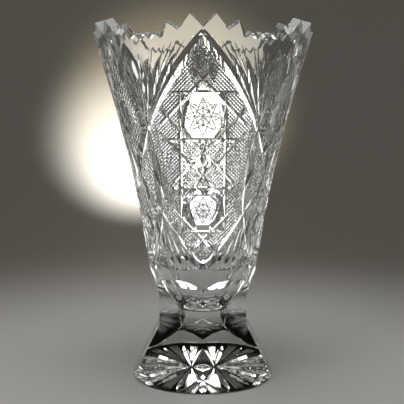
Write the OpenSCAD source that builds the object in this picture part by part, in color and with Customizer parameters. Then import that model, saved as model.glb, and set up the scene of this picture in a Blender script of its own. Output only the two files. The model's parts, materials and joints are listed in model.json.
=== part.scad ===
// Cut crystal vase: a heavy blown bowl, a short stem and a flared foot, joined hot.
// Units are millimetres. +Z is up and the origin is the centre of the foot's base.
// The front (-Y side, angle 0) looks square on at one of the three broad panels.

/* [Overall] */
// Height from the table to the tips of the tallest teeth
vase_h = 305; // [300:1:312]
// Outside diameter of the rim, over the teeth
rim_d = 193; // [188:1:198]
// Diameter of the foot
foot_d = 123; // [120:1:126]

/* [Bowl] */
// Outside diameter where the plain band meets the cut wall
band_d = 95; // [94:0.5:97]
// Height of that meeting line
band_z = 100; // [98:1:102]
// How far the flaring wall bows inward from a straight line
wall_bow = 4.9; // [4:0.1:6]
// Thickness of the wall at the rim
wall_t = 8; // [7.5:0.5:9]
// Height of the bottom of the hollow inside the bowl
floor_z = 60; // [58:1:64]
// Height of the hot joint between the bowl and the stem
bowl_joint_z = 54; // [52:1:55]

/* [Rim teeth] */
// How much lower the teeth are where two scallops meet than at the highest tooth
scallop_drop = 14.5; // [12:0.5:16]
// Depth of the notch in the middle of a scallop, below the tallest teeth
notch_depth = 11; // [9:0.5:12]

/* [Mitre cuts] */
// Width of the broad mitre cuts that frame the panels
mitre_w = 9; // [7:0.5:9.5]
// Depth of the same cuts
mitre_d = 3.2; // [2.4:0.1:3.4]
// Height of the upper tips of the panels
panel_top_z = 287; // [285:1:288]
// Height of the lower tips of the panels
panel_low_z = 106; // [105:1:108]
// Height where the frames of two neighbouring broad panels cross
panel_mid_z = 180; // [177:1:183]
// Widest half angle of the three narrow panels
narrow_half = 23.5; // [22:0.5:26]

/* [Stem and foot] */
// Distance across the flats of the stem at its narrowest
waist_flats = 74.8; // [74:0.2:76]
// How much the flats of the foot widen for each millimetre downwards
foot_flare = 0.5; // [0.48:0.01:0.52]
// Height of the hot joint between the stem and the foot
foot_joint_z = 36; // [34:1:38]
// Rays of the star under the foot
star_rays = 16; // [12:2:20]
// Depth of the star's rays
star_d = 3; // [2:0.5:4]

/* [Hidden] */
$fn = 96;

flutes = 6;             // broad flats that run from the bowl over the stem to the foot
broad_panels = 3;       // broad panels, with a narrow panel between each two of them
tip_turn = 60;          // angle from the tips of a broad panel to those of the next narrow one
broad_steps = 4;        // straight cuts that make up each side line of a broad panel
narrow_steps = 6;       // and of a narrow panel
broad_bow = 1;          // how far the broad panel's upper side lines bow outward, as an angle
broad_round = 1.4;      // power by which its lower side lines curl up from the lower tip
narrow_skew = 0.75;     // power that puts the narrow panel's widest place below its middle
cut_lap = 0.3;          // how far each of these cuts runs on into the next
scallops = 6;           // scallops of the rim
waist_low_z = 53;       // the stem's flats are upright between these two heights
waist_top_z = 72;
flute_top_r = 26;       // curve of a flat where it runs out under the bowl
flute_low_r = 16;       // curve of a flat where it turns out over the foot
blank_waist_r = 44;     // radius of the glass before the flats are cut
foot_edge_h = 26;       // height of the foot's edge before the flats are cut
foot_bevel = 1;         // bevel round the bottom edge of the foot
floor_r = 10;           // radius of the flat part of the hollow's floor
low_extra_t = 4;        // extra thickness of the wall at its lower end
hollow_band_z = 112;    // height where the hollow starts to follow the wall
wall_steps = 10;        // straight stretches that make a curved wall
over = 2;               // how far a cutter stands past the glass
hollow_low = [[17, 64], [24, 76], [30, 92]];   // hollow between the floor and the band
tip_land = 0.5;         // the tallest teeth are ground flat this far below their sharp point

// Teeth of half a scallop as [angle from its middle, drop below the tallest tooth],
// and the notches between them. The other half is their mirror image.
peaks = [[6, -tip_land], [17.6, 6], [24.4, scallop_drop], [30, scallop_drop]];
notches = [
    [0, notch_depth],
    [12, notch_depth + 2],
    [21.2, scallop_drop + 4],
    [27.2, scallop_drop + 5]
];

function between(low, high, t) = low + (high - low) * t;

// Radius of the bowl's outside and of its hollow at height z, and the outward slope of the wall
function share(z) = (z - band_z) / (vase_h - band_z);
function wall_r(z) =
    let (t = share(z))
    band_d / 2 + (rim_d - band_d) / 2 * t - 4 * wall_bow * t * (1 - t);
function hollow_r(z) = wall_r(z) - wall_t - low_extra_t * (1 - share(z));
function wall_slope(z) = (wall_r(z + 1) - wall_r(z - 1)) / 2;
function on_wall(p) = [wall_r(p.y) * sin(p.x), -wall_r(p.y) * cos(p.x), p.y];
function wall_normal(p) =
    let (n = [sin(p.x), -cos(p.x), -wall_slope(p.y)])
    n / norm(n);
function heights(low, high) = [for (i = [0:wall_steps]) between(low, high, i / wall_steps)];

// Frame lines on the wall, as [angle, height]
function broad_upper(t) =
    [tip_turn * t + broad_bow * sin(180 * t), between(panel_top_z, panel_mid_z, t)];
function broad_lower(t) =
    [tip_turn * t, between(panel_low_z, panel_mid_z, pow(t, broad_round))];
function narrow_side(t) =
    [tip_turn - narrow_half * sin(180 * pow(t, narrow_skew)), between(panel_low_z, panel_top_z, t)];

// A V-shaped wheel cut in the wall from a to b, both given as [angle, height]
module mitre(a, b) {
    p = on_wall(a);
    q = on_wall(b);
    u = (q - p) / norm(q - p);
    m = wall_normal((a + b) / 2);
    n = (m - u * (m * u)) / norm(m - u * (m * u));
    v = cross(n, u);
    lift = mitre_d * over / (mitre_w / 2);
    multmatrix([[v.x, n.x, u.x, p.x], [v.y, n.y, u.y, p.y], [v.z, n.z, u.z, p.z]])
        translate([0, 0, -cut_lap])
            linear_extrude(norm(q - p) + 2 * cut_lap)
                polygon([[0, -mitre_d], [mitre_w / 2 + over, lift], [-mitre_w / 2 - over, lift]]);
}

// Both frame lines of one broad panel and of the narrow panel beside it, left and right
module panel_frames() {
    for (turn = [0:360 / broad_panels:359], side = [0, 1])
        rotate([0, 0, turn]) mirror([side, 0, 0]) {
            for (i = [0:broad_steps - 1]) {
                mitre(broad_upper(i / broad_steps), broad_upper((i + 1) / broad_steps));
                mitre(broad_lower(i / broad_steps), broad_lower((i + 1) / broad_steps));
            }
            for (i = [0:narrow_steps - 1])
                mitre(narrow_side(i / narrow_steps), narrow_side((i + 1) / narrow_steps));
        }
}

// One notch of the rim: everything above two lines from its bottom to the teeth beside it
module notch(at, left, right) {
    r = rim_d / 2;
    up = vase_h + over;
    function across(p) = r * sin(p[0] - at[0]);
    function high(p) = vase_h - p[1];
    function reach(p) = across(p) * (up - high(at)) / (high(p) - high(at));
    rotate([0, 0, at[0]])
        rotate([90, 0, 0])
            linear_extrude(r + over)
                polygon([[0, high(at)], [reach(right), up], [reach(left), up]]);
}

module rim_notches() {
    for (turn = [0:360 / scallops:359], side = [0, 1])
        rotate([0, 0, turn]) mirror([side, 0, 0])
            for (i = [0:len(notches) - 1])
                if (i > 0 || side == 0)
                    notch(notches[i], i > 0 ? peaks[i - 1] : [-peaks[0][0], peaks[0][1]], peaks[i]);
}

// Side view of the wheel that cuts one flat, in [radius, height]
module flute_side() {
    flat_r = waist_flats / 2;
    lean = atan(foot_flare);
    drop = flute_low_r * tan(lean / 2);
    translate([flat_r, waist_low_z])
        square([foot_d, waist_top_z - waist_low_z]);
    translate([flat_r + flute_top_r, waist_top_z])
        circle(flute_top_r);
    translate([flat_r + flute_low_r, waist_low_z])
        circle(flute_low_r);
    polygon([
        [flat_r + flute_low_r * (1 - cos(lean)), waist_low_z - flute_low_r * sin(lean)],
        [flat_r + (waist_low_z - drop + over) * foot_flare, -over],
        [foot_d, -over],
        [foot_d, waist_top_z],
        [flat_r + flute_low_r, waist_low_z]
    ]);
}

module flute_cuts() {
    for (i = [0:flutes - 1])
        rotate([0, 0, 360 / flutes * i])
            rotate([90, 0, 0])
                translate([0, 0, -foot_d])
                    linear_extrude(2 * foot_d)
                        flute_side();
}

// Solid ring of glass under an outline that starts and ends on the axis
module turned(points) {
    rotate_extrude()
        polygon(points);
}

// V-shaped cut in the base plane, whose keel runs from [distance, depth] a to b
module keel_cut(a, b) {
    rise = atan((b.y - a.y) / (b.x - a.x));
    translate([0, -a.x, a.y])
        rotate([90 - rise, 0, 0])
            linear_extrude(norm(b - a))
                polygon([[0, 0], [-2 * star_d, -2 * star_d], [2 * star_d, -2 * star_d]]);
}

// Leaf-shaped rays that a V-edged wheel cuts under the foot
module star_cuts() {
    tip = 0.06 * foot_d;
    deep = 0.28 * foot_d;
    end = 0.43 * foot_d;
    for (i = [0:star_rays - 1])
        rotate([0, 0, 360 / star_rays * i]) {
            keel_cut([tip, 0], [deep, star_d]);
            keel_cut([deep, star_d], [end, 0]);
        }
}

module bowl() {
    color([0.86, 0.88, 0.9, 0.45])
        difference() {
            turned(concat(
                [[0, bowl_joint_z], [blank_waist_r, bowl_joint_z], [blank_waist_r, waist_top_z]],
                [for (z = heights(band_z, vase_h)) [wall_r(z), z]],
                [[0, vase_h]]
            ));
            turned(concat(
                [[0, floor_z], [floor_r, floor_z]],
                hollow_low,
                [for (z = heights(hollow_band_z, vase_h + over)) [hollow_r(z), z]],
                [[0, vase_h + over]]
            ));
            flute_cuts();
            rim_notches();
            panel_frames();
        }
}

module stem() {
    color([0.84, 0.87, 0.9, 0.45])
        difference() {
            translate([0, 0, foot_joint_z])
                cylinder(r = foot_d / 2 - over, h = bowl_joint_z - foot_joint_z);
            flute_cuts();
        }
}

module foot() {
    edge_r = foot_d / 2;
    color([0.82, 0.86, 0.9, 0.45])
        difference() {
            turned([
                [0, 0],
                [edge_r - foot_bevel, 0],
                [edge_r, foot_bevel],
                [edge_r, foot_edge_h],
                [edge_r - over, foot_joint_z],
                [0, foot_joint_z]
            ]);
            flute_cuts();
            star_cuts();
        }
}

bowl();
stem();
foot();
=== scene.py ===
"""Cut crystal vase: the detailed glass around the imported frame, with its studio.

Lengths in the design are millimetres and angles are degrees round the vase, with 0 at the front (-Y) and
positive to the right. Meshes are made in metres. A place on the bowl's wall is written (angle, height).
"""
import json
import math

import bpy
import numpy as np
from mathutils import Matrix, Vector

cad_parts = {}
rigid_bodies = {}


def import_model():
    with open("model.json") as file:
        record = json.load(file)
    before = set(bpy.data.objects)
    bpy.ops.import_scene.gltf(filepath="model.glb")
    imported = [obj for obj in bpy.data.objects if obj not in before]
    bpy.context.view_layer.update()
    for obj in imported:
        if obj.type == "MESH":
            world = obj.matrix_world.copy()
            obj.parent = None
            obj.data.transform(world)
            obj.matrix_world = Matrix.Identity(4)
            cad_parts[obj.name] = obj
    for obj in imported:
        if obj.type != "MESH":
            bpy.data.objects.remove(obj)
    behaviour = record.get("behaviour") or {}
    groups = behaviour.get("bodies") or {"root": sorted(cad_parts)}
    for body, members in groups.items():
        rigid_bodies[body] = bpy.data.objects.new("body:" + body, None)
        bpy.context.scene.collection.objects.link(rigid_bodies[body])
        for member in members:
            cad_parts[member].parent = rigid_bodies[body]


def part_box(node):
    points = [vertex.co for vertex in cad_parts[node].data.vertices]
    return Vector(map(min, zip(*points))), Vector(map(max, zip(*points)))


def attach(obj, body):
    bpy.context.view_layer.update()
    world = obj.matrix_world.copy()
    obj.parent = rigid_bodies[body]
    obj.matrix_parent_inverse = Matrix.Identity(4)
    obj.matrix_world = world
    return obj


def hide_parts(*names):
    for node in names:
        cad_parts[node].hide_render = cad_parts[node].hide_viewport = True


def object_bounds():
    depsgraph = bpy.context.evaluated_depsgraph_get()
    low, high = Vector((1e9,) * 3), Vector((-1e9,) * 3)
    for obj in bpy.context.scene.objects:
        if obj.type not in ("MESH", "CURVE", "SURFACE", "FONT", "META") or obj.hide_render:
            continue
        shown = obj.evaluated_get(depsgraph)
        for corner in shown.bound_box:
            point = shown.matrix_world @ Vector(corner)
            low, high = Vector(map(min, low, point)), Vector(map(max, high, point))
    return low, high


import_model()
CAD_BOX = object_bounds()
MM = 0.001

# Sizes that the frame gives
VASE_H = CAD_BOX[1][2] / MM
FOOT_JOINT_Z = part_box("foot")[1].z / MM
BOWL_JOINT_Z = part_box("stem")[1].z / MM
FOOT_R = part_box("foot")[1].x / MM

# Bowl
RIM_D = 193
BAND_D = 95
BAND_Z = 100
WALL_BOW = 4.9
WALL_T = 8
LOW_EXTRA_T = 4
HOLLOW_BAND_Z = 112
HOLLOW_LOW = [(0, 60), (10, 60), (17, 64), (24, 76), (30, 92)]

# Stem and foot
WAIST_FLATS = 74.8
WAIST_LOW_Z = 53
WAIST_TOP_Z = 72
FLUTE_TOP_R = 26
FLUTE_LOW_R = 16
FOOT_FLARE = 0.5
BLANK_WAIST_R = 44
FOOT_EDGE_H = 26
FOOT_BEVEL = 1
FLUTES = 6

# Panels
PANELS = (0, 120, 240)
SIXTHS = range(0, 360, 60)
TIP_TURN = 60
PANEL_TOP_Z = 287
PANEL_MID_Z = 180
PANEL_LOW_Z = 106
BROAD_BOW = 1
BROAD_ROUND = 1.4
NARROW_HALF = 23.5
NARROW_SKEW = 0.75

# Rim: the upper edge of half a scallop, from its middle, as (angle, drop below the tallest teeth), and how
# far the teeth fall across the wall
TEETH = [(0, 11), (6, 0.1), (12, 13), (17.6, 6), (21.2, 18.5), (24.4, 14.5), (27.2, 19.5), (30, 14.5)]
TOOTH_FALL = 2.6


# ---------------------------------------------------------------- shapes of the wall

def share(z):
    return (np.asarray(z, float) - BAND_Z) / (VASE_H - BAND_Z)


def wall_r(z):
    t = share(z)
    return BAND_D / 2 + (RIM_D - BAND_D) / 2 * t - 4 * WALL_BOW * t * (1 - t)


def hollow_r(z):
    return wall_r(z) - WALL_T - LOW_EXTRA_T * (1 - share(z))


def polar(angle, radius, z):
    a = np.radians(angle)
    return np.stack([radius * np.sin(a), -radius * np.cos(a), np.broadcast_to(z, np.shape(a))], -1)


def unit(v):
    return v / np.linalg.norm(v, axis=-1, keepdims=True)


def on_wall(route):
    """Points and outward normals on the bowl's wall for rows of (angle, height)."""
    angle, z = np.asarray(route, float).T
    slope = (wall_r(z + 1) - wall_r(z - 1)) / 2
    return polar(angle, wall_r(z), z), unit(polar(angle, 1.0, -slope))


# ---------------------------------------------------------------- solids, as (vertices, faces) in millimetres

def turned(points, segments):
    """A closed solid turned from an outline of (radius, height) that starts and ends on the axis."""
    verts = []
    rings = []
    for radius, z in points:
        count = 1 if radius < 1e-6 else segments
        rings.append(range(len(verts), len(verts) + count))
        angle = np.arange(count) * 360 / segments
        verts.extend(polar(angle, radius, z))
    faces = []
    for low, high in zip(rings, rings[1:]):
        for i in range(segments):
            j = (i + 1) % segments
            loop = [low[i % len(low)], low[j % len(low)], high[j % len(high)], high[i % len(high)]]
            faces.append([v for k, v in enumerate(loop) if v != loop[k - 1]])
    return np.array(verts), faces


def groove(points, normals, depth, slopes, lift):
    """A V-edged cutter along points on a surface. Depth is one number per point, and slopes are the widths of
    the left and right sides for each unit of depth. It stands lift past the surface."""
    depth = np.asarray(depth, float)[:, None]
    along = np.gradient(points, axis=0)
    side = unit(np.cross(along, normals))
    keel = points - normals * depth
    left = points + normals * lift + side * slopes[0] * (depth + lift)
    right = points + normals * lift - side * slopes[1] * (depth + lift)
    verts = np.stack([keel, left, right], 1).reshape(-1, 3)
    faces = [[0, 1, 2]]
    for a in range(0, len(verts) - 3, 3):
        b = a + 3
        faces += [[a, b, b + 1, a + 1], [a + 1, b + 1, b + 2, a + 2], [a + 2, b + 2, b, a]]
    end = len(verts) - 3
    faces.append([end, end + 2, end + 1])
    return verts, faces


def prism(outline, placed, length):
    """A bar with an outline of (across, up), placed by a function from (across, up, along) to a point."""
    count = len(outline)
    verts = [placed(x, y, w) for w in (0, length) for x, y in outline]
    faces = [list(range(count))[::-1], list(range(count, 2 * count))]
    for i in range(count):
        j = (i + 1) % count
        faces.append([i, j, count + j, count + i])
    return np.array(verts, float), faces


# ---------------------------------------------------------------- wheel cuts, kept in groups

class Cuts:
    """Cutters by group. Cutters in one group don't touch each other, so each group is one clean mesh."""

    def __init__(self):
        self.groups = {}

    def add(self, group, solid):
        self.groups.setdefault(group, []).append(solid)


def join_solids(solids):
    verts = []
    faces = []
    count = 0
    for v, f in solids:
        verts.append(v)
        faces += [[i + count for i in face] for face in f]
        count += len(v)
    return np.concatenate(verts), faces


def mesh_object(name, solid):
    verts, faces = solid
    mesh = bpy.data.meshes.new(name)
    mesh.from_pydata((verts * MM).tolist(), [], faces)
    mesh.update()
    obj = bpy.data.objects.new(name, mesh)
    bpy.context.scene.collection.objects.link(obj)
    return obj


def cut(piece, cuts):
    """Subtracts every group of cutters from the piece."""
    cutters = bpy.data.collections.new("cutters")
    for name, solids in cuts.groups.items():
        obj = mesh_object("cutter_" + name, join_solids(solids))
        bpy.context.scene.collection.objects.unlink(obj)
        cutters.objects.link(obj)
    modifier = piece.modifiers.new("cut", "BOOLEAN")
    modifier.operation = "DIFFERENCE"
    modifier.operand_type = "COLLECTION"
    modifier.collection = cutters
    modifier.solver = "MANIFOLD"
    graph = bpy.context.evaluated_depsgraph_get()
    mesh = bpy.data.meshes.new_from_object(piece.evaluated_get(graph))
    piece.modifiers.clear()
    blank = piece.data
    piece.data = mesh
    bpy.data.meshes.remove(blank)
    for obj in list(cutters.objects):
        bpy.data.meshes.remove(obj.data)
    bpy.data.collections.remove(cutters)


def spaced(a, b, step):
    """Points from a to b, both (x, height) or (angle, height), about step apart."""
    a, b = np.asarray(a, float), np.asarray(b, float)
    count = max(2, int(np.linalg.norm(b - a) / step) + 1)
    return a + (b - a) * np.linspace(0, 1, count)[:, None]


def angle_at(x, z):
    """Angle on the wall of a point that is seen this far across, at height z."""
    return np.degrees(np.arcsin(np.clip(x / wall_r(z), -1, 1)))


def from_front(points, turn):
    """Wall places for points (across, height) seen square on in the panel at this turn."""
    x, z = np.asarray(points, float).T
    return np.stack([turn + angle_at(x, z), z], -1)


def wall_groove(route, width, depth, lift=1.0, shape=None, slopes=None):
    """A groove of this width and depth along a route of (angle, height)."""
    points, normals = on_wall(route)
    share_of_depth = np.ones(len(route)) if shape is None else shape(np.linspace(0, 1, len(route)))
    if slopes is None:
        slopes = (width / 2 / depth, width / 2 / depth)
    return groove(points, normals, depth * share_of_depth, slopes, lift)


def pointed(ends):
    """Depth of a cut that runs out over this share of its length at each end."""
    def shape(t):
        near = np.minimum(t, 1 - t) / ends
        return 1 - np.clip(1 - near, 0, 1) ** 2
    return shape


def leaf(widest):
    """Depth of a leaf-shaped cut that is deepest at this share of its length."""
    def shape(t):
        u = np.where(t < widest, t / widest, (1 - t) / (1 - widest))
        return np.sin(np.pi / 2 * np.clip(u, 0, 1)) ** 0.8
    return shape


# ---------------------------------------------------------------- frame lines between the panels

def broad_upper(t):
    t = np.asarray(t, float)
    return np.stack([TIP_TURN * t + BROAD_BOW * np.sin(np.pi * t),
                     PANEL_TOP_Z + (PANEL_MID_Z - PANEL_TOP_Z) * t], -1)


def broad_lower(t):
    t = np.asarray(t, float)
    return np.stack([TIP_TURN * t, PANEL_LOW_Z + (PANEL_MID_Z - PANEL_LOW_Z) * t ** BROAD_ROUND], -1)


def narrow_side(t):
    t = np.asarray(t, float)
    return np.stack([TIP_TURN - NARROW_HALF * np.sin(np.pi * t ** NARROW_SKEW),
                     PANEL_LOW_Z + (PANEL_TOP_Z - PANEL_LOW_Z) * t], -1)


def broad_half(z):
    """Half angle of a broad panel at height z."""
    t_up = np.clip((PANEL_TOP_Z - z) / (PANEL_TOP_Z - PANEL_MID_Z), 0, 1)
    t_low = np.clip((z - PANEL_LOW_Z) / (PANEL_MID_Z - PANEL_LOW_Z), 0, 1) ** (1 / BROAD_ROUND)
    upper = TIP_TURN * t_up + BROAD_BOW * np.sin(np.pi * t_up)
    return np.minimum(np.minimum(upper, TIP_TURN * t_low), TIP_TURN - narrow_half(z))


def narrow_half(z):
    """Half angle of a narrow panel at height z."""
    t = np.clip((z - PANEL_LOW_Z) / (PANEL_TOP_Z - PANEL_LOW_Z), 0, 1)
    return NARROW_HALF * np.sin(np.pi * t ** NARROW_SKEW)


# Width and depth of the frame cuts
FRAME_W = 9
FRAME_D = 2.4


def cut_frames(cuts):
    """A line down from each broad panel's upper tip to the next one's lower tip, on both sides, and the two
    sides of each narrow panel."""
    t = np.linspace(0, 1, 21)
    over_tip = np.array([[-1.2, PANEL_TOP_Z + 1.6]])
    under_tip = np.array([[-1.6, PANEL_LOW_Z + 0.4]])
    next_panel = [2 * TIP_TURN, 0]
    down = np.concatenate([
        over_tip,
        broad_upper(t),
        next_panel + [-1, 1] * broad_lower(t)[-2::-1],
        next_panel + [-1, 1] * under_tip,
    ])
    side = narrow_side(t)
    for turn in PANELS:
        for way, name in ((1, "right"), (-1, "left")):
            cuts.add("frame_" + name, wall_groove([turn, 0] + [way, 1] * down, FRAME_W, FRAME_D, lift=1.5))
            cuts.add("narrow_" + name, wall_groove([turn, 0] + [way, 1] * side, FRAME_W, FRAME_D, lift=1.5))


# ---------------------------------------------------------------- straps, stars and hatching

STRAP_W = 4.4
STRAP_D = 1.15
# The two upright straps lie this far from the middle of a broad panel
STRAP_X = 18.1
# Level straps, as (half length, height)
LEVELS = [(30, 245), (36, 208.5), (29, 170), (16, 133.5)]
# Straps at 45 degrees, as (start, end, height in the middle of the panel)
DIAGONALS = [(-10, 37, 254.6), (-37, 28, 198.5), (-37, 19, 180), (-25, 12, 127)]
# Heights of a broad panel's stars, with their radii, and of the clear diamond between straps, with its half
# size
OCTAGONS = (226.7, 151.7)
STAR_RADII = (15.5, 12)
CENTRE_DIAMOND = (189.25, 9.25)
# Distance of the lower octagon's keel from its middle, and its width and depth
OCTAGON_CUT = (12.8, 4.6, 2.0)
# Width of the steep inner face of an octagon's cut for each unit of depth
OCTAGON_STEEP = 0.4
# A narrow panel's stars, as (height, radius of the border), and the border's width and depth
NARROW_STARS = ((227, 12.5), (137, 9))
NARROW_BORDER = (1.5, 0.4)
# Width of a star's lines, and their depth in a broad and in a narrow panel
STAR_W = 0.9
STAR_LINE_D = 0.5
FAINT_STAR_D = 0.25
# Crosshatching as (pitch, width, depth), in the broad and in the narrow panels. With the faint one only 0.2
# deep the script hung, most likely in the boolean that cuts the bowl.
HATCH = (2.1, 1.6, 0.45)
FAINT_HATCH = (2.8, 1.8, 0.25)
# How far to each side of a panel's middle its hatching is looked for
BROAD_REACH = 46
NARROW_REACH = 32


def cut_straps(cuts, turn):
    for side in (-1, 1):
        upright = spaced((side * STRAP_X, LEVELS[0][1] + 5), (side * STRAP_X, LEVELS[3][1] - 5), 5)
        cuts.add("upright", strap(upright, turn))
    for half, z in LEVELS:
        cuts.add("level", strap(spaced((-half, z), (half, z), 5), turn))
    for way, name in ((1, "falling"), (-1, "rising")):
        for start, end, middle in DIAGONALS:
            line = spaced((start, middle - start), (end, middle - end), 5)
            cuts.add(name, strap([way, 1] * line, turn))


def strap(points, turn):
    route = from_front(points, turn)
    return wall_groove(route, STRAP_W, STRAP_D, lift=0.8, shape=pointed(0.12))


def star_points(radius, z):
    angle = np.radians(90 + 45 * np.arange(8))
    return np.stack([radius * np.cos(angle), z + radius * np.sin(angle)], -1)


def cut_star(cuts, turn, z, radius, depth):
    """Eight-pointed star of long lines, with four lines through its middle."""
    tips = star_points(radius, z)
    lines = [(tips[k], tips[(k + 3) % 8]) for k in range(8)]
    lines += [(tips[k], tips[k + 4]) for k in range(4)]
    for number, (a, b) in enumerate(lines):
        route = from_front(spaced(a, b, 2.5), turn)
        cuts.add(f"star_{number}", wall_groove(route, STAR_W, depth, lift=0.3, shape=pointed(0.15)))


def cut_octagon(cuts, turn, z, half, width, depth):
    """Bevelled border whose keel is this far from the middle, and whose wide face rises outwards."""
    corner = half * math.tan(math.radians(22.5))
    for number in range(8):
        a = math.radians(45 * number)
        across = np.array([math.cos(a), math.sin(a)])
        along = np.array([-math.sin(a), math.cos(a)])
        ends = [across * half + along * corner * way + [0, z] for way in (-1, 1)]
        route = from_front(spaced(ends[0], ends[1], 3), turn)
        slopes = (width / depth, OCTAGON_STEEP)
        cuts.add(f"octagon_{number % 2}", wall_groove(route, width, depth, lift=0.5, slopes=slopes))


def cut_hatching(cuts, turn, inside, reach, hatch):
    """Two sets of fine crossing grooves over the places of one panel where inside(x, z) is true."""
    pitch, width, depth = hatch
    step = pitch * math.sqrt(2)
    run = 0.25
    x = np.arange(-reach, reach, run)
    for way, name in ((1, "hatch_up"), (-1, "hatch_down")):
        for number in range(int((PANEL_TOP_Z - PANEL_LOW_Z + 2 * reach) / step)):
            z = PANEL_LOW_Z - reach + step * number + way * x
            kept = inside(x, z).astype(int)
            starts = np.flatnonzero(np.diff(kept, prepend=0) == 1)
            ends = np.flatnonzero(np.diff(kept, append=0) == -1)
            for a, b in zip(starts, ends):
                if (b - a) * run > pitch:
                    route = from_front(spaced((x[a], z[a]), (x[b], z[b]), 6), turn)
                    cuts.add(f"{name}_{number % 2}", wall_groove(route, width, depth, lift=0.3))


def in_broad_field(x, z):
    """The hatched part of a broad panel: all of it but its stars and the clear diamonds between straps."""
    panel = np.abs(angle_at(x, z)) < broad_half(z)
    plain = np.zeros(np.shape(x), bool)
    for middle in OCTAGONS:
        plain |= (np.abs(x) < STRAP_X) & (np.abs(z - middle) < STRAP_X)
    plain |= (z > LEVELS[0][1]) & (z < DIAGONALS[0][2] - np.abs(x))
    plain |= np.abs(x) + np.abs(z - CENTRE_DIAMOND[0]) < CENTRE_DIAMOND[1]
    return panel & ~plain


def in_narrow_field(x, z):
    """The hatched part of a narrow panel: all of it but the discs round its stars."""
    panel = np.abs(angle_at(x, z)) < narrow_half(z)
    for middle, radius in NARROW_STARS:
        panel &= x ** 2 + (z - middle) ** 2 > (radius + 0.5) ** 2
    return panel


# ---------------------------------------------------------------- fans and border

# Places on the right of a broad panel, as (angle, height). Each cut starts part of the way from its root.
FAN_ROOT = (39.5, 217)
FAN_TIPS = [(14, 275), (22.5, 273), (31, 271), (40, 273), (49, 276)]
FEATHER_TIPS = [
    (9, 284), (12, 285), (15, 284), (19, 282), (26, 280), (28, 281), (35, 280), (44, 281), (53, 284),
]
LOW_ROOT = (39, 147)
BLADE_TIPS = [(12, 106), (21, 104.5), (30, 104.5), (39, 105.5), (48, 107.5), (55, 111)]
# Name, root, tips, share left out at the root, groups, width, depth, lift, and where the leaf is widest
LEAVES = [
    ("petal", FAN_ROOT, FAN_TIPS, 0.14, 2, 6.5, 2.2, 1.0, 0.62),
    ("feather", FAN_ROOT, FEATHER_TIPS, 0.6, 3, 1.6, 0.7, 0.6, 0.5),
    ("blade", LOW_ROOT, BLADE_TIPS, 0.22, 2, 5.0, 1.7, 1.0, 0.7),
]
# The groove between the wall and the plain band, over half a panel, and its width and depth
BORDER = [(0, 105.8), (8, 102.3), (24, 101.6), (42, 103.5), (56, 108), (60, 108.4)]
BORDER_W = 2.4
BORDER_D = 1.0


def cut_fans(cuts, turn, way):
    """Leaf-shaped cuts that spread from two roots, on the side of the panel that way gives."""
    for name, root, tips, skipped, groups, width, depth, lift, widest in LEAVES:
        for number, tip in enumerate(tips):
            start = np.array(root, float) + (np.array(tip, float) - np.array(root, float)) * skipped
            ends = [np.array([turn + way * angle, z]) for angle, z in (start, tip)]
            solid = wall_groove(spaced(*ends, 3), width, depth, lift, leaf(widest))
            cuts.add(f"{name}_{number % groups}", solid)


def cut_border(cuts):
    """The border in two halves, so that neither half touches itself."""
    angles = np.arange(0, 361, 3)
    folded = np.abs((angles + 60) % 120 - 60)
    z = np.interp(folded, [p[0] for p in BORDER], [p[1] for p in BORDER])
    route = np.stack([angles, z], -1)
    middle = len(route) // 2
    for number, half in enumerate((route[:middle + 1], route[middle:])):
        cuts.add(f"border_{number}", wall_groove(half, BORDER_W, BORDER_D, lift=0.8))


# ---------------------------------------------------------------- flats of the waist and foot

def flute_outline():
    """Side view of the wheel that cuts one flat, as (radius, height), going up with the glass on its left."""
    flat = WAIST_FLATS / 2
    lean = math.atan(FOOT_FLARE)
    arc = np.linspace(0, 1, 17)
    low = [(flat + FLUTE_LOW_R * (1 - math.cos(a)), WAIST_LOW_Z - FLUTE_LOW_R * math.sin(a))
           for a in arc[::-1] * lean]
    high = [(flat + FLUTE_TOP_R * (1 - math.cos(a)), WAIST_TOP_Z + FLUTE_TOP_R * math.sin(a))
            for a in arc * math.pi / 2]
    start = (low[0][0] + (low[0][1] + 2) * FOOT_FLARE, -2)
    return [start] + low + high + [(75, high[-1][1]), (75, -2)]


def cut_flutes(cuts):
    reach = 50
    for number in range(FLUTES):
        turn = math.radians(360 / FLUTES * number)

        def placed(x, y, w, c=math.cos(turn), s=math.sin(turn)):
            return (x * c - (w - reach) * s, x * s + (w - reach) * c, y)
        cuts.add(f"flute_{number % 2}", prism(flute_outline(), placed, 2 * reach))


# ---------------------------------------------------------------- rim

def cut_rim(cuts):
    """One crown-shaped cutter whose underside is the teeth. They fall towards the outside."""
    half = [(a, VASE_H - d) for a, d in TEETH]
    scallop = [(-a, z) for a, z in half[:0:-1]] + half[:-1]
    edge = [(turn + a, z) for turn in SIXTHS for a, z in scallop]
    angle = np.array([a for a, z in edge], float)
    z = np.array([z for a, z in edge], float)
    inner = 80.0
    outer = RIM_D / 2 + 2
    up = VASE_H + 3
    fall = TOOTH_FALL / WALL_T
    rows = [
        polar(angle, inner, z + fall * (RIM_D / 2 - WALL_T - inner)),
        polar(angle, outer, z - fall * (outer - RIM_D / 2 + WALL_T)),
        polar(angle, outer, up),
        polar(angle, inner, up),
    ]
    count = len(angle)
    faces = []
    for i in range(count):
        j = (i + 1) % count
        for row in range(4):
            after = (row + 1) % 4
            faces.append([row * count + i, row * count + j, after * count + j, after * count + i])
    cuts.add("crown", (np.concatenate(rows), faces))


# ---------------------------------------------------------------- star under the foot

STAR_RAYS = 16
# Width and depth of the rays, and of the five fan lines between each two of them
RAY_W = 5.5
RAY_D = 1.6
FAN_W = 1.6
FAN_D = 0.8
FAN_LEANS = (-4, -2, 0, 2, 4)
# Where the rays and the fan lines start and end, from the middle of the foot
RAY_REACH = (1.5, 53)
FAN_REACH = (14, 56)
# A fan line starts at this share of its lean
FAN_START = 0.25


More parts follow.
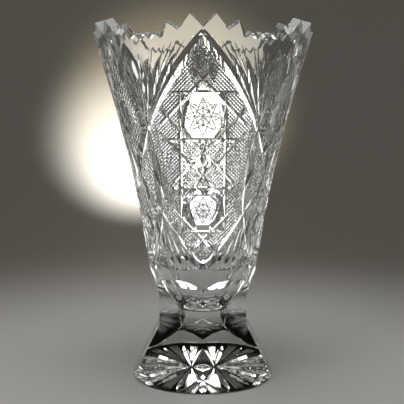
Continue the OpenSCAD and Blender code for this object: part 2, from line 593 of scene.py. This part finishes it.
def base_groove(a, b, turn, width, depth, shape):
    """A cut in the base plane from a to b, both (across, outwards)."""
    flat = spaced(a, b, 2)
    c, s = math.cos(math.radians(turn)), math.sin(math.radians(turn))
    points = np.array([(x * c + y * s, x * s - y * c, 0) for x, y in flat])
    normals = np.broadcast_to([0.0, 0.0, -1.0], points.shape)
    slope = width / 2 / depth
    depths = depth * shape(np.linspace(0, 1, len(points)))
    return groove(points, normals, depths, (slope, slope), lift=1.0)


def cut_foot_star(cuts):
    for number in range(STAR_RAYS):
        turn = 360 / STAR_RAYS * number
        ray = base_groove((0, RAY_REACH[0]), (0, RAY_REACH[1]), turn, RAY_W, RAY_D, leaf(0.7))
        cuts.add(f"ray_{number % 4}", ray)
        half_turn = turn + 180 / STAR_RAYS
        for line, lean in enumerate(FAN_LEANS):
            start = (lean * FAN_START, FAN_REACH[0])
            end = (lean, FAN_REACH[1])
            fan = base_groove(start, end, half_turn, FAN_W, FAN_D, leaf(0.75))
            cuts.add(f"fan_{line}_{number % 2}", fan)


# ---------------------------------------------------------------- glass bodies

# Sides of the turned blanks, and how far the foot's blank is drawn in at the hot joint
BLANK_SIDES = 120
FOOT_SIDES = 180
DRAWN_IN = 2
# Edges where the glass turns by more than this many degrees stay crisp
CRISP_ANGLE = 14


def smooth_through(points, steps):
    """A smooth curve through the points (Catmull-Rom)."""
    p = np.array([points[0]] + list(points) + [points[-1]], float)
    curve = []
    for i in range(1, len(p) - 2):
        for t in np.arange(steps) / steps:
            a, b, c, d = p[i - 1:i + 3]
            curve.append(0.5 * (2 * b + (c - a) * t + (2 * a - 5 * b + 4 * c - d) * t ** 2
                                + (3 * b - a - 3 * c + d) * t ** 3))
    return curve + [p[-1]]


def bowl_blank():
    outer = [(BLANK_WAIST_R, BOWL_JOINT_Z), (BLANK_WAIST_R, WAIST_TOP_Z)]
    outer += [(float(wall_r(z)), z) for z in np.linspace(BAND_Z, VASE_H, 26)]
    low = smooth_through(HOLLOW_LOW + [(float(hollow_r(HOLLOW_BAND_Z)), HOLLOW_BAND_Z)], 6)
    inner = [(float(hollow_r(z)), z) for z in np.linspace(HOLLOW_BAND_Z, VASE_H, 30)[1:]]
    hollow = [tuple(p) for p in low] + inner
    return turned([(0, BOWL_JOINT_Z)] + outer + hollow[::-1], BLANK_SIDES)


def stem_blank():
    radius = FOOT_R - DRAWN_IN
    outline = [(0, FOOT_JOINT_Z), (radius, FOOT_JOINT_Z), (radius, BOWL_JOINT_Z), (0, BOWL_JOINT_Z)]
    return turned(outline, BLANK_SIDES)


def foot_blank():
    return turned([
        (0, 0),
        (FOOT_R - FOOT_BEVEL, 0),
        (FOOT_R, FOOT_BEVEL),
        (FOOT_R, FOOT_EDGE_H),
        (FOOT_R - DRAWN_IN, FOOT_JOINT_Z),
        (0, FOOT_JOINT_Z),
    ], FOOT_SIDES)


def finish_piece(piece, materials, joint_heights):
    """Smooth shading with crisp cut edges. The flat faces of the hot joints get the second material."""
    mesh = piece.data
    mesh.shade_smooth()
    mesh.set_sharp_from_angle(angle=math.radians(CRISP_ANGLE))
    mesh.materials.clear()
    for material in materials:
        mesh.materials.append(material)
    for face in mesh.polygons:
        if abs(face.normal.z) > 0.999:
            for z in joint_heights:
                if abs(face.center.z / MM - z) < 0.01:
                    face.material_index = 1


def build_bowl():
    piece = mesh_object("bowl_glass", bowl_blank())
    cuts = Cuts()
    cut_flutes(cuts)
    cut_rim(cuts)
    cut_frames(cuts)
    cut_border(cuts)
    for turn in PANELS:
        cut_straps(cuts, turn)
        cut_octagon(cuts, turn, OCTAGONS[1], *OCTAGON_CUT)
        for middle, radius in zip(OCTAGONS, STAR_RADII):
            cut_star(cuts, turn, middle, radius, STAR_LINE_D)
        for middle, radius in NARROW_STARS:
            cut_octagon(cuts, turn + TIP_TURN, middle, radius, *NARROW_BORDER)
            cut_star(cuts, turn + TIP_TURN, middle, radius - 2, FAINT_STAR_D)
        for way in (-1, 1):
            cut_fans(cuts, turn, way)
        cut_hatching(cuts, turn, in_broad_field, BROAD_REACH, HATCH)
        cut_hatching(cuts, turn + TIP_TURN, in_narrow_field, NARROW_REACH, FAINT_HATCH)
    cut(piece, cuts)
    return piece


def build_stem():
    piece = mesh_object("stem_glass", stem_blank())
    cuts = Cuts()
    cut_flutes(cuts)
    cut(piece, cuts)
    return piece


def build_foot():
    piece = mesh_object("foot_glass", foot_blank())
    cuts = Cuts()
    cut_flutes(cuts)
    cut_foot_star(cuts)
    cut(piece, cuts)
    return piece


# ---------------------------------------------------------------- materials

def node_material(name):
    material = bpy.data.materials.new(name)
    material.use_nodes = True
    nodes = material.node_tree.nodes
    return material, nodes, material.node_tree.links, nodes["Principled BSDF"]


def crystal():
    """Clear lead crystal with the faint waves that the polishing wheel leaves."""
    material, nodes, links, shader = node_material("crystal")
    shader.inputs["Base Color"].default_value = (0.97, 0.985, 0.985, 1)
    shader.inputs["Transmission Weight"].default_value = 1
    shader.inputs["IOR"].default_value = 1.54
    place = nodes.new("ShaderNodeTexCoord")
    waves = nodes.new("ShaderNodeTexNoise")
    waves.inputs["Scale"].default_value = 90
    waves.inputs["Detail"].default_value = 2
    links.new(place.outputs["Object"], waves.inputs["Vector"])
    bump = nodes.new("ShaderNodeBump")
    bump.inputs["Strength"].default_value = 0.05
    bump.inputs["Distance"].default_value = 0.0006
    links.new(waves.outputs["Fac"], bump.inputs["Height"])
    links.new(bump.outputs["Normal"], shader.inputs["Normal"])
    haze = nodes.new("ShaderNodeMapRange")
    haze.inputs["To Min"].default_value = 0.0
    haze.inputs["To Max"].default_value = 0.02
    links.new(waves.outputs["Fac"], haze.inputs["Value"])
    links.new(haze.outputs["Result"], shader.inputs["Roughness"])
    return material


def joint_glass():
    """The hot joint inside the glass, which nothing shows."""
    material, nodes, links, shader = node_material("hot_joint")
    shader.inputs["Alpha"].default_value = 0
    shader.inputs["Transmission Weight"].default_value = 1
    shader.inputs["IOR"].default_value = 1
    return material


def paper_with_painted_light():
    """Paper sweep with painted light: a painted pool of light makes it pale near the vase, and painted shade
    makes it darker towards the wall and ceiling.
    """
    material, nodes, links, shader = node_material("paper_with_painted_light")
    place = nodes.new("ShaderNodeTexCoord")
    length = nodes.new("ShaderNodeVectorMath")
    length.operation = "LENGTH"
    links.new(place.outputs["Object"], length.inputs[0])
    painted_light_falloff = nodes.new("ShaderNodeMapRange")
    painted_light_falloff.interpolation_type = "SMOOTHSTEP"
    painted_light_falloff.inputs["From Min"].default_value = 0.05
    painted_light_falloff.inputs["From Max"].default_value = 0.7
    links.new(length.outputs["Value"], painted_light_falloff.inputs["Value"])
    # Painted light: the colour goes from pale at the vase to dark on the far floor, wall and ceiling, a
    # painted pool of light and painted shade rather than the paper's own tone.
    shade = nodes.new("ShaderNodeMix")
    shade.data_type = "RGBA"
    shade.inputs["A"].default_value = (0.82, 0.81, 0.79, 1)
    shade.inputs["B"].default_value = (0.25, 0.235, 0.205, 1)
    links.new(painted_light_falloff.outputs["Result"], shade.inputs["Factor"])
    links.new(shade.outputs["Result"], shader.inputs["Base Color"])
    shader.inputs["Roughness"].default_value = 0.7
    return material


# ---------------------------------------------------------------- studio, with lamps and camera in metres

# The paper sweep in millimetres: radius of the wall, radius of the flat floor, and height
ROOM_R = 1150
FLAT_R = 550
ROOM_H = 2000

# Colours of the light
WHITE = (1, 1, 1)
COOL = (0.97, 0.98, 1)
CREAM = (1, 0.94, 0.82)
WARM = (1, 0.86, 0.6)


def studio():
    """A round sweep of paper: flat floor, wide curve and upright wall, with a ceiling."""
    bend = ROOM_R - FLAT_R
    sweep = [(FLAT_R + bend * math.sin(a), bend * (1 - math.cos(a)))
             for a in np.linspace(0, math.pi / 2, 25)]
    room = mesh_object("studio_floor", turned([(0, 0)] + sweep + [(ROOM_R, ROOM_H), (0, ROOM_H)], 96))
    room.data.shade_smooth()
    room.data.set_sharp_from_angle(angle=math.radians(40))
    room.data.materials.append(paper_with_painted_light())


def place_lamp(name, light, place, aim):
    """The lamp as an object at its place, turned to what it is aimed at."""
    obj = bpy.data.objects.new(name, light)
    bpy.context.scene.collection.objects.link(obj)
    obj.location = place
    obj.rotation_euler = (Vector(aim) - Vector(place)).to_track_quat("-Z", "Y").to_euler()
    return obj


def area_light(name, place, aim, size, power, colour=WHITE):
    """A soft lamp that the camera doesn't see."""
    light = bpy.data.lights.new(name, "AREA")
    light.shape = "RECTANGLE"
    light.size, light.size_y = size
    light.energy = power
    light.color = colour
    lamp = place_lamp(name, light, place, aim)
    lamp.visible_camera = False
    return lamp


def spot_light(name, place, aim, width, power, colour, blend):
    """A spot that is width degrees wide. Blend is the share of it that fades out."""
    spot = bpy.data.lights.new(name, "SPOT")
    spot.energy = power
    spot.spot_size = math.radians(width)
    spot.spot_blend = blend
    spot.color = colour
    spot.shadow_soft_size = 0.05
    place_lamp(name, spot, place, aim)


def glass_lamp(name, place, radius, radiance, colour):
    """A round lamp that only the glass shows, aimed at the vase. Radiance 1 renders white."""
    power = radiance * math.pi * math.pi * radius ** 2
    lamp = area_light(name, place, (0, 0, 0.2), (2 * radius, 2 * radius), power, colour)
    lamp.data.shape = "DISK"
    lamp.visible_diffuse = False
    lamp.visible_glossy = False


def lights():
    """A cream disc and a cool white core behind the glass, three lamps on its other sides, soft light from
    above and from the front left, and a round glow on the paper."""
    glass_lamp("back_disc", (-0.04, 0.62, 0.228), 0.2, 0.4, CREAM)
    glass_lamp("back_core", (-0.02, 0.42, 0.12), 0.135, 1.8, COOL)
    glass_lamp("front_disc", (0.1, -1.0, 0.35), 0.4, 0.35, WHITE)
    glass_lamp("front_right", (0.62, -0.62, 0.12), 0.18, 1.0, WHITE)
    glass_lamp("left_disc", (-0.85, 0.0, 0.15), 0.18, 1.0, WHITE)
    area_light("top_panel", (0.0, -0.15, 1.3), (0, 0, 0.1), (0.8, 0.8), 6.5)
    area_light("front_left", (-0.75, -0.7, 0.8), (0, 0, 0.15), (0.4, 0.5), 1)
    spot_light("backdrop_glow", (-0.041, 0.5, 0.228), (-0.062, 1.15, 0.2), 54, 16, WARM, 0.5)
    spot_light("backdrop_core", (-0.08, 0.5, 0.2), (-0.16, 1.15, 0.13), 46, 60, COOL, 1)
    world = bpy.data.worlds.new("studio")
    world.use_nodes = True
    world.node_tree.nodes["Background"].inputs["Strength"].default_value = 0
    bpy.context.scene.world = world


def camera():
    """A long lens about level with the upper stars, tilted a little down."""
    data = bpy.data.cameras.new("camera")
    data.lens = 70.65
    data.sensor_width = 36
    obj = bpy.data.objects.new("camera", data)
    bpy.context.scene.collection.objects.link(obj)
    obj.location = (-0.0008, -0.6915, 0.2224)
    obj.rotation_euler = (math.pi / 2 - 0.1, 0, 0)
    bpy.context.scene.camera = obj


# ---------------------------------------------------------------- the whole scene

crystal_material = crystal()
joint_material = joint_glass()
PIECES = {
    "bowl": (build_bowl, [BOWL_JOINT_Z]),
    "stem": (build_stem, [FOOT_JOINT_Z, BOWL_JOINT_Z]),
    "foot": (build_foot, [FOOT_JOINT_Z]),
}
for node, (build, joint_heights) in PIECES.items():
    piece = build()
    finish_piece(piece, [crystal_material, joint_material], joint_heights)
    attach(piece, "root")
    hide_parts(node)

studio()
lights()
camera()
bpy.context.scene.view_settings.view_transform = "Standard"
bpy.context.scene.cycles.max_bounces = 24
bpy.context.scene.cycles.glossy_bounces = 16
bpy.context.scene.cycles.transmission_bounces = 24
